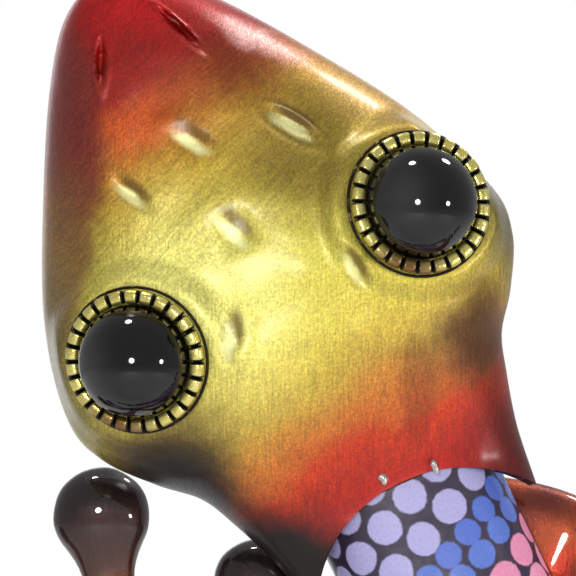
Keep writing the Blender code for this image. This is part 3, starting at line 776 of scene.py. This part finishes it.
def strip_rows(route, stations, half_width, crown, rim, across, wrap=lambda s: 1.0, end_arc=None,
               roughness=0.1):
    """Rows of a formed strip along a route, and the same rows rolled out flat in plan."""
    rows, flat = [], []
    for distance in stations:
        middle, left = route.at(distance)
        along = Vector((left.y, -left.x))
        row = []
        for k in range(across + 1):
            side, height = section(wrap(distance) * (2 * k / across - 1))
            offset = side * half_width(distance)
            point = middle + left * offset
            if end_arc:
                point = point + along * end_arc(distance, offset)
            beaten = ripple(point.x, point.y, 3, 6.0, roughness) + ripple(point.x, point.y, 5, 2, 0.03)
            beaten *= height           # none at the rims
            row.append(place(point, rim(distance) + height * crown(distance) + beaten))
        rows.append(row)
        centre = across // 2
        rolled = [0.0]
        for near, far in zip(row[centre:], row[centre + 1:]):
            rolled.append(rolled[-1] + (far - near).length / MM)
        widths = [-w for w in reversed(rolled[1:])] + rolled
        flat.append([middle + left * w for w in widths])
    return rows, flat


def body_pieces(spine, lacquer, enamel, edge, back):
    rows, _ = strip_rows(spine, even(0, BODY_LENGTH, 150),
                         lambda s: smooth_value(BODY_HALF_WIDTH, s),
                         lambda s: smooth_value(BODY_CROWN, s), lambda s: BODY_RIM, 64, roughness=0.0)
    formed_sheet("body_shell", rows, (lacquer, edge, back), "body_lacquer")
    lift = GAP + INLAY_SHEET
    rows, flat = strip_rows(spine, rounded_stations(INLAY_START, INLAY_END, 150, INLAY_TONGUE, 24),
                            lambda s: smooth_value(BODY_HALF_WIDTH, s) + lift,
                            lambda s: smooth_value(BODY_CROWN, s) + lift, lambda s: BODY_RIM, 72,
                            wrap=lambda s: INLAY_WRAP * rounded(s, INLAY_END, INLAY_TONGUE), roughness=0.12)
    formed_sheet("body_inlay", rows, (enamel, edge, back), "dotted_inlay", INLAY_SHEET, flat=flat)


def tail_piece(spine, lacquer, edge, back):
    end = spine.length

    def along_tail(knots):
        return lambda s: smooth_value(knots, s - TAIL_START)

    def closing(knots):
        return lambda s: smooth_value(knots, s - TAIL_START) * rounded(s, end, TAIL_TIP)

    rows, _ = strip_rows(spine, rounded_stations(TAIL_START, end, 190, TAIL_TIP, 8),
                         closing(TAIL_HALF_WIDTH), closing(TAIL_CROWN), along_tail(TAIL_RIM), 40)
    formed_sheet("tail_shell", rows, (lacquer, edge, back), "body_lacquer")


def heading_plan(degrees):
    return Vector((math.sin(math.radians(degrees)), math.cos(math.radians(degrees))))


def leg_piece(name, points, palm_plan, wrist, finishes):
    reach = PALM_RADIUS + GAP
    to_leg = heading_plan(wrist)
    route = Route(list(points) + [Vector(palm_plan) + to_leg * (reach + more) for more in (WRIST, 0)])

    def crown(s):
        return LEG_ROOT_CROWN + (LEG_CROWN - LEG_ROOT_CROWN) * smooth_step(LEG_ROOT, LEG_ROOT + LEG_RISE, s)

    def end_arc(s, offset):
        cup = reach - math.sqrt(reach ** 2 - offset ** 2)
        return cup * smooth_step(0.75 * route.length, route.length, s)

    rows, _ = strip_rows(route, even(0, route.length, 60),
                         lambda s: smooth_value(LEG_HALF_WIDTH, s / route.length),
                         crown, lambda s: LEG_RIM, 40, end_arc=end_arc)
    formed_sheet(name, rows, finishes, "body_lacquer")


def turned_mesh(rings, segments, flatness=1.0):
    """A closed solid of oval rings: each ring is (place along Y, radius)."""
    bm = bmesh.new()
    turns = [2 * math.pi * k / segments for k in range(segments)]
    loops = []
    for along, radius in rings:
        loops.append([bm.verts.new(Vector((radius * math.cos(turn), along,
                                           flatness * radius * math.sin(turn))) * MM)
                      for turn in turns])
    for near, far in zip(loops, loops[1:]):
        for k in range(segments):
            bm.faces.new((near[k], near[(k + 1) % segments], far[(k + 1) % segments], far[k]))
    for loop in (loops[0], loops[-1]):
        bm.faces.new(loop)
    bmesh.ops.recalc_face_normals(bm, faces=bm.faces)
    return bm


def roughen(bm, size, height, seed):
    """Moves the points a little along their normals, by smooth noise."""
    bm.normal_update()
    for vert in bm.verts:
        x, y, z = vert.co / MM
        vert.co += vert.normal * ripple(x + seed, y, z, size, height) * MM


def toe_piece(name, palm_plan, heading, length, finish):
    out = heading_plan(heading)
    back = length - PALM_RADIUS + GAP
    blend = (BALL_BLEND, math.sqrt(TOE_BALL ** 2 - BALL_BLEND ** 2))
    stem = [blend] + TOE_STEM + [(back, TOE_FOOT)]
    rings = [(-distance, smooth_value(stem, distance)) for distance in even(back, TOE_STEM[0][0], 28)]
    start = math.degrees(math.acos(TOE_STEM[0][0] / TOE_BALL))
    for turn in even(start, 178, 18)[1:]:
        angle = math.radians(turn)
        rings.append((-TOE_BALL * math.cos(angle), TOE_BALL * math.sin(angle)))
    bm = turned_mesh(rings, 40, TOE_FLATNESS)
    roughen(bm, 3.0, 0.12, heading)
    world = frame_at(Vector(palm_plan) + out * length, TOE_DEPTH, (out.y, -out.x))
    mesh_piece(name, bm, (finish,), "foot_lacquer", name, world=world)


def spun(profile, segments):
    """A closed solid turned about Z from (radius, height) points in millimetres."""
    bm = bmesh.new()
    line = [bm.verts.new(Vector((radius, 0, height)) * MM) for radius, height in profile]
    edges = [bm.edges.new(pair) for pair in zip(line, line[1:])]
    bmesh.ops.spin(bm, geom=line + edges, cent=(0, 0, 0), axis=(0, 0, 1), angle=2 * math.pi, steps=segments)
    bmesh.ops.remove_doubles(bm, verts=bm.verts, dist=1e-6)
    bmesh.ops.recalc_face_normals(bm, faces=bm.faces)
    return bm


def palm_piece(name, plan, heading, finish):
    """The pad that a leg and its toes meet in, with its flat sole on the wall."""
    turns = 16
    profile = [(0, 0), (PALM_RADIUS - PALM_FOOT, 0), (PALM_RADIUS, PALM_FOOT)]
    profile += [(PALM_RADIUS, PALM_WALL * k / 4) for k in (1, 2, 3, 4)]
    for k in range(1, turns + 1):
        angle = k * math.pi / 2 / turns
        radius = PALM_RADIUS * max(math.cos(angle), 0) ** PALM_SHOULDER if k < turns else 0
        profile.append((radius, PALM_WALL + (PALM_TOP - PALM_WALL) * math.sin(angle)))
    bm = spun(profile, 72)
    out = heading_plan(heading)
    mesh_piece(name, bm, (finish,), "foot_lacquer", name, world=frame_at(plan, 0, (out.y, -out.x)), sharp=50)


def eye_place(side):
    """World matrix of an eye's seat: local Z points out of the seat."""
    plan = head_plan(side * EYE_U + EYE_SHIFT + head_lean(0), 0)
    right = head_plan(1, 0)
    lean = side * EYE_TILT
    out = Vector((right.x * math.sin(lean), -math.cos(lean), right.y * math.sin(lean)))
    seat = Matrix.Translation(place(plan, HEAD_RIM + EYE_HEIGHT))
    return seat @ out.to_track_quat('Z', 'Y').to_matrix().to_4x4()


def glass_piece(word, side, finish):
    """Half a ball on a short straight side, seated in the bezel."""
    profile = [(0, EYE_LEDGE), (GLASS_RADIUS, EYE_LEDGE)]
    for k in range(33):
        angle = k * math.pi / 2 / 32
        radius = GLASS_RADIUS * math.cos(angle) if k < 32 else 0
        profile.append((radius, GLASS_RADIUS * math.sin(angle) + GLASS_LIFT))
    mesh_piece(f"{word}_eye_glass", spun(profile, 96), (finish,), "black_glass", f"{word}_eye_glass",
               world=eye_place(side))


def bezel_piece(word, side, finish):
    """A ring of square-shouldered beads, each a little different in size."""
    steps, wire = 14, 20
    bm = bmesh.new()
    rings = []
    for i in range(BEADS * steps):
        turn = 2 * math.pi * i / (BEADS * steps)
        across_bead = abs(2 * (i % steps) / steps - 1)
        size = BEAD_GROOVE + (1 - BEAD_GROOVE) * math.sqrt(1 - across_bead ** 5)
        wobble = 1 + 0.1 * noise.noise(Vector((7 * side, i // steps * 1.7, 0)))
        ring = []
        for k in range(wire):
            angle = 2 * math.pi * k / wire
            square = [math.copysign(abs(f) ** 0.75, f) for f in (math.cos(angle), math.sin(angle))]
            reach = BEAD_RING + BEAD_HALF_WIDTH * size * wobble * square[0]
            height = EYE_LEDGE + BEAD_HALF_HEIGHT * (1 + size * square[1])
            ring.append(bm.verts.new(Vector((reach * math.cos(turn), reach * math.sin(turn), height)) * MM))
        rings.append(ring)
    for near, far in zip(rings, rings[1:] + rings[:1]):
        for k in range(wire):
            bm.faces.new((near[k], far[k], far[(k + 1) % wire], near[(k + 1) % wire]))
    bmesh.ops.recalc_face_normals(bm, faces=bm.faces)
    mesh_piece(f"{word}_eye_bezel", bm, (finish,), "beaded_wire", f"{word}_eye_bezel", world=eye_place(side))


def wire_piece(name, points, radius, finish, slot, *nodes, closed=False, world=None, body=BODY):
    data = bpy.data.curves.new(name, 'CURVE')
    data.dimensions = '3D'
    data.bevel_depth = radius * MM
    data.bevel_resolution = 6
    data.use_fill_caps = not closed
    spline = data.splines.new('POLY')
    spline.points.add(len(points) - 1)
    for knot, point in zip(spline.points, points):
        knot.co = (*point, 1.0)
    spline.use_cyclic_u = closed
    made = bpy.data.objects.new(name, data)
    if world:
        made.matrix_world = world
    stand_in(made, (finish,), slot, *nodes, body=body)


def cup_rim_piece(word, side, finish):
    """The thin turned-up rim of the eye's cup, outside the beads."""
    turns = [2 * math.pi * k / 96 for k in range(96)]
    points = [Vector((CUP_RIM_RADIUS * math.cos(turn), CUP_RIM_RADIUS * math.sin(turn), CUP_RIM_HEIGHT)) * MM
              for turn in turns]
    wire_piece(f"{word}_eye_cup_rim", points, CUP_RIM_WIRE, finish, "beaded_wire", closed=True,
               world=eye_place(side))


def arc_points(centre, radius, start, end, steps):
    turns = [math.radians(turn) for turn in even(start, end, steps)]
    return [(centre[0] + radius * math.cos(turn), centre[1] + radius * math.sin(turn)) for turn in turns]


def rod_piece(spine, steel):
    """The rod that ties head, body and tail together, a little lower where the tail is."""
    last = BODY_LENGTH + ROD_INTO_TAIL
    stretch = [spine.at(s)[0] for s in even(ROD_STRAIGHTENS, last, 120)]
    route = smooth_curve([head_plan(ROD_ASIDE, ROD_INTO_HEAD), stretch[0]], 8)[:-1] + stretch
    drop = smooth_value(TAIL_RIM, ROD_INTO_TAIL) - BODY_RIM - ROD_UNDER_TAIL
    points = [place(plan, ROD_DEPTH + drop * smooth_step(0.7, 1.0, k / (len(route) - 1)))
              for k, plan in enumerate(route)]
    wire_piece("spine_rod", points, ROD_RADIUS, steel, "bare_steel", "spine_rod")


def ring_piece(steel):
    """The D-shaped wire ring, with its straight bar on the hinge axis."""
    corner = RING_HALF_WIDTH - RING_CORNER
    loop = arc_points((corner, -RING_CORNER), RING_CORNER, 90, 0, 10)
    loop += arc_points((0, -RING_SIDE), RING_HALF_WIDTH, 0, -180, 40)
    loop += arc_points((-corner, -RING_CORNER), RING_CORNER, 180, 90, 10)
    points = [Vector((x * MM, 0, z * MM)) for x, z in loop]
    wire_piece("hanger_ring", points, RING_WIRE, steel, "bare_steel", "hanger_ring", closed=True,
               body=RING_BODY)


def keep_plates(steel):
    """The plates and the clip behind the shells keep their CAD shape."""
    for name in ("neck_brace", "shoulder_plate", "hip_plate", "hanger_brace", "hanger_clip"):
        for material_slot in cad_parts[name].material_slots:
            material_slot.material = steel


def solder_blobs(solder):
    """Beads of solder left where the neck's edge meets the body sheet."""
    for number, (plan, depth, size, length) in enumerate(SOLDER, start=1):
        rings = []
        for k in range(1, 18):
            angle = math.pi * k / 18
            rings.append((-length * math.cos(angle), size * math.sin(angle)))
        bm = turned_mesh(rings, 24, 0.7)
        roughen(bm, 0.7, 0.22, number * 5)
        mesh_piece(f"neck_solder_{number}", bm, (solder,), "bare_steel",
                   world=frame_at(plan, depth, SOLDER_RUN))


# ---------------------------------------------------------------- stage

def area_light(name, direction, distance, size, power):
    data = bpy.data.lights.new(name, 'AREA')
    data.shape = 'DISK'
    data.size = size
    data.energy = power
    made = bpy.data.objects.new(name, data)
    towards = Vector(direction).normalized()
    made.location = place(*LAMPS_FACE) + towards * distance
    made.rotation_euler = towards.to_track_quat('Z', 'Y').to_euler()
    bpy.context.scene.collection.objects.link(made)


def studio():
    """Four small lamps that the glass eyes show in a square, a soft one behind, and a grey room.

    The camera sees a white backdrop instead of the room.
    """
    for lamp in LAMPS:
        area_light(*lamp)
    world = bpy.data.worlds.new("studio")
    world.use_nodes = True
    bpy.context.scene.world = world
    nodes, links = world.node_tree.nodes, world.node_tree.links
    room = nodes["Background"]
    room.inputs["Color"].default_value = ROOM
    backdrop = nodes.new("ShaderNodeBackground")
    backdrop.inputs["Color"].default_value = WHITE
    seen = nodes.new("ShaderNodeLightPath")
    mixed = nodes.new("ShaderNodeMixShader")
    links.new(seen.outputs["Is Camera Ray"], mixed.inputs[0])
    links.new(room.outputs[0], mixed.inputs[1])
    links.new(backdrop.outputs[0], mixed.inputs[2])
    links.new(mixed.outputs[0], nodes["World Output"].inputs["Surface"])


def floor():
    """A white disc, matt and faintly brighter towards its edge."""
    bm = bmesh.new()
    bmesh.ops.create_circle(bm, cap_ends=True, segments=96, radius=FLOOR_RADIUS)
    mesh = bpy.data.meshes.new("floor")
    bm.to_mesh(mesh)
    bm.free()
    finish = Finish("floor_finish", Roughness=0.9)
    own = finish.own()
    mottle = finish.noise(own, 0.02, 2.0)
    out = finish.node("ShaderNodeVectorMath", {0: own}, 1, operation="LENGTH")
    glow = finish.range(out, 200.0, 1100.0, 0.0, 0.08)
    finish.done(Base_Color=finish.mix(mottle, paint(236, 236, 236), paint(244, 244, 243)),
                Emission_Color=WHITE, Emission_Strength=glow)
    mesh.materials.append(finish.material)
    made = bpy.data.objects.new("floor", mesh)
    made.location = (0, 0, CAD_BOX[0].z - FLOOR_DROP)
    bpy.context.scene.collection.objects.link(made)


def camera():
    """A long lens square to the wall, framing the head's snout to the first of the body."""
    data = bpy.data.cameras.new("camera")
    data.sensor_width = 36.0
    data.lens = data.sensor_width * CAMERA_AWAY / CAMERA_FRAMES
    made = bpy.data.objects.new("camera", data)
    made.location = Vector(CAMERA_AT) - Vector((0, CAMERA_AWAY, 0))
    made.rotation_euler = (math.pi / 2, 0, 0)
    bpy.context.scene.collection.objects.link(made)
    bpy.context.scene.camera = made


def main():
    bpy.context.scene.view_settings.view_transform = 'Standard'
    camera()
    studio()
    floor()
    spine = Route(SPINE)
    edge, back, steel = cut_edge(), back_primer(), bare_steel()
    lacquer, foot, glass, gold = body_lacquer(), foot_lacquer(), black_glass(), beaded_gold()
    head_piece((head_lacquer(), edge, back))
    for word, side in (("left", -1), ("right", 1)):
        glass_piece(word, side, glass)
        bezel_piece(word, side, gold)
        cup_rim_piece(word, side, edge)
    body_pieces(spine, lacquer, dotted_enamel(), edge, back)
    tail_piece(spine, lacquer, edge, back)
    for name, (points, wrist, palm_plan, toes) in FEET.items():
        leg_piece(f"{name}_leg", points, palm_plan, wrist, (lacquer, edge, back))
        palm_piece(f"{name}_palm", palm_plan, wrist + 180, foot)
        for number, (heading, length) in enumerate(toes, start=1):
            toe_piece(f"{name}_toe_{number}", palm_plan, heading, length, foot)
    solder_blobs(tin_solder())
    rod_piece(spine, steel)
    ring_piece(steel)
    keep_plates(steel)


main()
bpy.context.view_layer.update()
